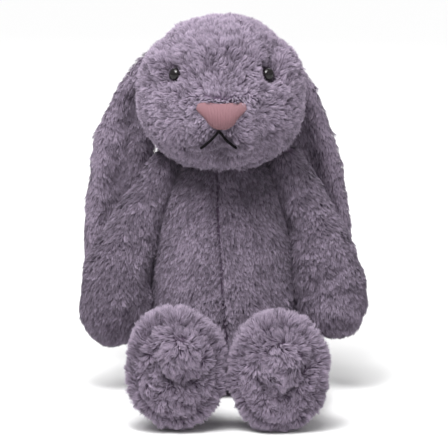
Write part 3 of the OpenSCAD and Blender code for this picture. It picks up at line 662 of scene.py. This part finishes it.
def dome(name, s, r, high, z0, mat):
    rings = []
    n = 48
    w = 2 * math.pi * np.arange(n) / n
    for a in np.linspace(0, 88, 18):
        q = math.radians(a)
        rings.append(np.stack([r * math.cos(q) * np.cos(w), r * math.cos(q) * np.sin(w), np.full(n, z0 + high * math.sin(q))], 1))
    rings.insert(0, np.stack([r * 0.55 * np.cos(w), r * 0.55 * np.sin(w), np.full(n, z0 - 1.2)], 1))
    V, q, t = loft(rings)
    o = mesh_from(name, turned(V, eye_axis(s), EYE_AT[s]), q, t)
    paint(o, mat)
    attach(o, "head")
    return o
for s, side in ((LEFT, "left"), (RIGHT, "right")):
    e = dome(f"eye_{side}_dome", s, 4.3, 3.5, 0.2, EYE)
    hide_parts(f"eye_{side}")

def nose_surface():
    """Rows of satin stitch laid side by side across a padded triangle."""
    V, Qd, at = [], [], 0
    count = 37
    for i in range(count):
        x0 = -15.2 + 30.4 * (i + 0.5) / count
        zs = np.linspace(-14, 9, 240)
        P = np.stack([np.full(240, x0 + HEAD_C[0]), np.full(240, -62.0), HEAD_C[2] + NOSE_Z + zs], 1)
        ok = zs[in_nose(P, 1.0)]
        if len(ok) < 6:
            continue
        lo, hi = ok[0], ok[-1]
        m, c = 14, 7
        rings = []
        for j in range(m):
            f = j / (m - 1)
            z = lo + (hi - lo) * f
            edge = min(1.0, 4.5 * min(f, 1 - f) + 0.25)
            pad = 1.7 * (1 - (x0 / 16.5) ** 2) * (1 - (2 * f - 1) ** 2 * 0.8)
            base = head_point(x0 * (1 + 0.05 * (1 - f)), z + NOSE_Z, 1.0 + pad)
            r = 0.52
            w = 2 * math.pi * np.arange(c) / c
            rings.append(np.stack([base[0] + r * np.cos(w), base[1] + r * edge * np.sin(w), np.full(c, base[2])], 1))
        v, q, t = loft(rings)
        V.append(v); Qd.append((q + at, t + at)); at += len(v)
    o = mesh_from("nose_stitches", np.vstack(V), np.vstack([q for q, _ in Qd]), np.vstack([t for _, t in Qd]))
    paint(o, NOSE)
    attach(o, "head"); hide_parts("nose")
nose_surface()

def thread(name, pts, r, twist=True):
    V, Qd, at = [], [], 0
    pts = np.array(pts)
    rows = [[*p, r, r] for p in pts]
    v, q, t = loft(tube_rings(rows, (0.2, -1, 0.1), 10, 2))
    return v, q, t
runs = []
for p, q in (((-1.6, -11.4), (-13.0, -25.4)), ((-1.4, -11.4), (9.6, -26.2))):
    pts = []
    for f in np.linspace(0, 1, 12):
        bow = math.sin(f * math.pi) * 0.9 * (-1 if q[0] > 0 else 1)
        pts.append(head_point(p[0] + (q[0] - p[0]) * f + bow, p[1] + (q[1] - p[1]) * f, 2.7))
    runs.append(thread("run", pts, 0.8))
Vt, Qt, Tt, at = [], [], [], 0
for v, q, t in runs:
    Vt.append(v); Qt.append(q + at); Tt.append(t + at); at += len(v)
mouth = mesh_from("mouth_stitch", np.vstack(Vt), np.vstack(Qt), np.vstack(Tt))
paint(mouth, THREAD)
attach(mouth, "head"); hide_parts("mouth_thread")

# ---------------------------------------------------------------- label
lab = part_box("care_label")
def label_mesh():
    n, m = 9, 13
    us, vs = np.linspace(0, 1, n), np.linspace(0, 1, m)
    V = []
    for side in (0, 1):
        for v in vs:
            for u in us:
                x = -8 + 16 * u
                y = 43.4 + 0.35 * side + 6.5 * v * v + 0.5 * math.sin(u * 5) * v
                z = 62 - 15 * v
                V.append([x, y, z])
    V = np.array(V)
    g = np.arange(n * m).reshape(m, n)
    q = []
    for j in range(m - 1):
        for i in range(n - 1):
            a, b, c, d = g[j, i], g[j, i + 1], g[j + 1, i + 1], g[j + 1, i]
            q.append([a, b, c, d]); q.append([d + n * m, c + n * m, b + n * m, a + n * m])
    edge = list(g[0, :]) + list(g[1:, -1]) + list(g[-1, -2::-1]) + list(g[-2:0:-1, 0])
    for i in range(len(edge)):
        a, b = edge[i], edge[(i + 1) % len(edge)]
        q.append([b, a, a + n * m, b + n * m])
    return V, np.array(q)
V, q = label_mesh()
label = mesh_from("blank_label", V, q)
paint(label, TAPE)
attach(label, "torso"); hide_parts("care_label")

# ---------------------------------------------------------------- riding, standing for the CAD's pieces
rep = {
 "torso_skin": ["torso_panel_front_left", "torso_panel_front_right", "torso_panel_back_left", "torso_panel_back_right",
                "torso_seat_panel", "torso_stuffing", "pellet_pouch", "pellet_fill"],
 "tail_skin": ["tail"],
 "head_skin": ["head_gusset", "head_side_left", "head_side_right", "head_chin_panel", "head_stuffing",
               "eye_washer_left", "eye_washer_right"]}
for side in ("left", "right"):
    rep[f"arm_{side}_skin"] = [f"arm_{side}_front_panel", f"arm_{side}_back_panel", f"arm_{side}_stuffing"]
    rep[f"ear_{side}_skin"] = [f"ear_{side}_outer", f"ear_{side}_lining"]
    rep[f"leg_{side}_skin"] = [f"leg_{side}_upper_panel", f"leg_{side}_under_panel", f"leg_{side}_stuffing"]
    rep[f"foot_{side}_skin"] = [f"foot_{side}_upper", f"foot_{side}_sole", f"foot_{side}_stuffing"]
for k, r in SKINS.items():
    o = r["obj"]
    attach(o, r["body"])
    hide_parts(*rep[k])

# the neck: a plug of plush under the chin that turns with the head
Vn, qn, tn = loft([np.array([0, 0, 145.0]) + 18.0 * d * [1, 1, 0.8] for d in sphere_dirs(40, 24)])
neck = mesh_from("neck_plush", Vn, qn, tn)
paint(neck, SKIN)
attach(neck, "neck"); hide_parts("neck_stuffing", "neck_seam_thread")

# ---------------------------------------------------------------- floor, light, camera
fl = bpy.data.meshes.new("floor")
fl.from_pydata([(-60, -60, 0), (60, -60, 0), (60, 60, 0), (-60, 60, 0)], [], [(0, 1, 2, 3)])
floor = bpy.data.objects.new("floor", fl)
bpy.context.scene.collection.objects.link(floor)
paint(floor, material("floor", (0.97, 0.97, 0.97), 0.9, 0, (1, 1, 1), 0.1))

world = bpy.data.worlds.new("world")
bpy.context.scene.world = world
world.use_nodes = True
world.node_tree.nodes["Background"].inputs[0].default_value = (1, 1, 1, 1)
world.node_tree.nodes["Background"].inputs[1].default_value = 0.36

def area(name, loc, aim, size, power, colour=(1, 1, 1)):
    l = bpy.data.lights.new(name, "AREA")
    l.shape = "RECTANGLE"; l.size, l.size_y = size
    l.energy, l.color = power, colour
    o = bpy.data.objects.new(name, l)
    o.location = loc
    o.rotation_euler = (Vector(aim) - Vector(loc)).to_track_quat("-Z", "Y").to_euler()
    bpy.context.scene.collection.objects.link(o)
def sun(name, towards, strength, angle):
    l = bpy.data.lights.new(name, "SUN")
    l.energy, l.angle = strength, math.radians(angle)
    o = bpy.data.objects.new(name, l)
    o.rotation_euler = Vector(towards).to_track_quat("-Z", "Y").to_euler()
    bpy.context.scene.collection.objects.link(o)
sun("key", (0.20, 0.34, -1.0), 2.25, 46)
area("face", (-0.08, -0.25, 0.52), (0, -0.03, 0.21), (0.18, 0.18), 1.65)
area("fill", (0.9, -1.2, 0.55), (0, 0, 0.12), (1.2, 0.9), 1.0)
area("back", (0.1, 0.9, 0.9), (0, 0, 0.15), (1.0, 0.6), 5)

cam = bpy.data.cameras.new("camera")
cam.sensor_width = 36
DIST, EL = 2.0, math.radians(11)
cam.lens = 36 * DIST / (448 * 0.63 * MM)
cam.clip_end = 60
co = bpy.data.objects.new("camera", cam)
aim = Vector((0.0, 0.0, 0.1035))
co.location = aim + DIST * Vector((0, -math.cos(EL), math.sin(EL)))
co.rotation_euler = (aim - co.location).to_track_quat("-Z", "Y").to_euler()
bpy.context.scene.collection.objects.link(co)
bpy.context.scene.camera = co
bpy.context.scene.view_settings.view_transform = "Standard"
